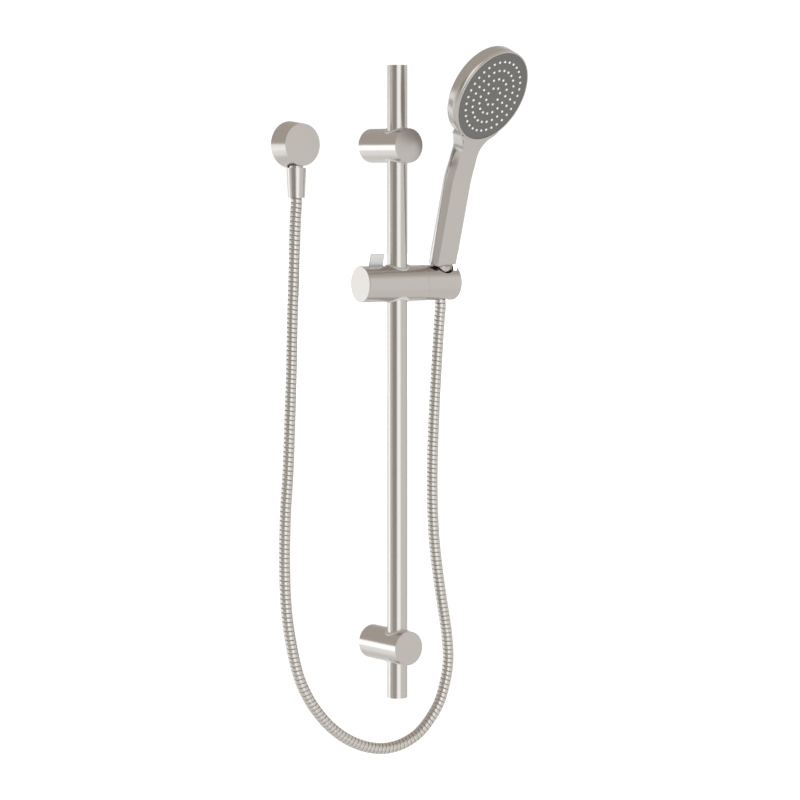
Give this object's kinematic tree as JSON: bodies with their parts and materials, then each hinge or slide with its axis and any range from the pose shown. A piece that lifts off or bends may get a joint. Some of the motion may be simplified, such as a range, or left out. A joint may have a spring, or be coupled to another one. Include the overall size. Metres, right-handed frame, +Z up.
{
  "type": "handheld shower set",
  "caption": "Handheld shower head with a round multi-nozzle face, resting in a tilting holder on a round wall rail, with a flexible metal hose to a wall outlet.",
  "frame": {"origin": "centre of the upper post where its wall plate meets the wall", "axes": "+Z up along the rail, +Y into the wall, +X to the right for someone facing the wall"},
  "size_m": [0.2729, 0.2022, 0.8764],
  "materials": {
    "nickel": "brushed nickel, warm grey, satin",
    "nickel_plated": "plastic plated in brushed nickel, satin",
    "nickel_disc": "flat brushed nickel disc",
    "sleeve_grey": "light grey plastic",
    "tab_grey": "light blue grey plastic",
    "face_grey": "fine textured grey plastic",
    "nozzle": "light silicone",
    "plastic_dark": "black plastic",
    "plastic_white": "moulded plastic",
    "brass": "machined brass",
    "plated_brass": "brass plated in brushed nickel",
    "steel": "plain steel",
    "wall_plate_metal": "die cast zinc",
    "seal": "black rubber"
  },
  "bodies": {
    "wall_frame": {"rail_tube": "nickel", "rail_cap_top": "nickel", "rail_cap_foot": "nickel", "post_upper": "nickel", "post_upper_sleeve": "sleeve_grey", "post_upper_cap": "nickel_disc", "post_upper_wall_plate": "wall_plate_metal", "post_lower": "nickel", "post_lower_sleeve": "sleeve_grey", "post_lower_cap": "nickel_disc", "post_lower_wall_plate": "wall_plate_metal", "post_grub_screws": "steel", "rail_clamp_screws": "steel", "outlet_cover": "nickel", "outlet_elbow": "plated_brass", "outlet_nipple": "brass", "outlet_wall_seal": "seal", "check_valve_cage": "plastic_white", "check_valve_spring": "steel", "outlet_ferrule": "plated_brass", "outlet_washer": "seal", "hose": "nickel"},
    "poppet": {"check_valve_poppet": "plastic_white"},
    "outlet_nut": {"outlet_hose_nut": "nickel"},
    "glide": {"glide_rings": "plastic_white"},
    "slider": {"slider_barrel": "nickel", "slider_end_cap": "nickel_disc", "slider_sleeve": "sleeve_grey", "seam_ring": "sleeve_grey", "tilt_washer": "steel"},
    "release": {"release_hub": "brass", "release_tab": "tab_grey"},
    "shoe": {"brake_shoe": "plastic_dark", "brake_spring": "steel"},
    "holder": {"holder_barrel": "nickel", "holder_insert": "plastic_dark", "tilt_spindle": "brass"},
    "hose_end": {"handset_ferrule": "plated_brass", "handset_washer": "seal"},
    "handset_nut": {"handset_hose_nut": "nickel"},
    "handset": {"handset_inlet": "plated_brass", "flow_restrictor": "plastic_white", "inlet_o_ring": "seal", "waterway_tube": "plastic_white", "handset_shell": "nickel_plated", "head_rim": "nickel_plated", "spray_plate": "face_grey", "nozzle_mat": "nozzle", "spray_chamber": "plastic_white", "chamber_seal": "seal"}
  },
  "joints": [
    {"name": "slider_height", "type": "slide", "parent": "wall_frame", "child": "glide", "axis": [0, 0, 1], "range_m": [-0.4, 0.12], "deforming": ["hose"]},
    {"name": "slider_swing", "type": "hinge", "parent": "glide", "child": "slider", "pos_m": [0, -0.0515, -0.1685], "axis": [0, 0, 1], "range_deg": [-34, 6]},
    {"name": "holder_tilt", "type": "hinge", "parent": "slider", "child": "holder", "pos_m": [0, -0.0515, -0.1685], "axis": [0.9976, -0.0698, 0], "range_deg": [-6, 18]},
    {"name": "handset_lift", "type": "slide", "parent": "holder", "child": "hose_end", "axis": [-0.021, -0.3, 0.9537], "range_m": [0, 0.04]},
    {"name": "handset_nut_turn", "type": "hinge", "parent": "hose_end", "child": "handset_nut", "pos_m": [0.06235, -0.05586, -0.1685], "axis": [-0.021, -0.3, 0.9537], "continuous": true},
    {"name": "handset_turn", "type": "hinge", "parent": "hose_end", "child": "handset", "pos_m": [0.06235, -0.05586, -0.1685], "axis": [-0.021, -0.3, 0.9537], "range_deg": [-40, 46]},
    {"name": "release_press", "type": "hinge", "parent": "slider", "child": "release", "pos_m": [0, -0.0515, -0.1685], "axis": [-0.9976, 0.0698, 0], "range_deg": [0, 14], "stiffness_Nm_per_rad": 1, "springref_deg": -5.73},
    {"name": "brake_release", "type": "slide", "parent": "slider", "child": "shoe", "axis": [-0.9976, 0.0698, 0], "range_m": [0, 0.0012], "deforming": ["brake_spring"]},
    {"name": "outlet_nut_turn", "type": "hinge", "parent": "wall_frame", "child": "outlet_nut", "pos_m": [-0.1236, -0.0125, -0.027], "axis": [0, 0, 1], "continuous": true},
    {"name": "check_valve", "type": "slide", "parent": "wall_frame", "child": "poppet", "axis": [0, 0, -1], "range_m": [0, 0.0025], "stiffness_N_per_m": 60, "springref_m": -0.004, "deforming": ["check_valve_spring"]}
  ],
  "couplings": [
    {"joint": "brake_release", "follows": "release_press", "m_per_rad": 0.0041}
  ]
}
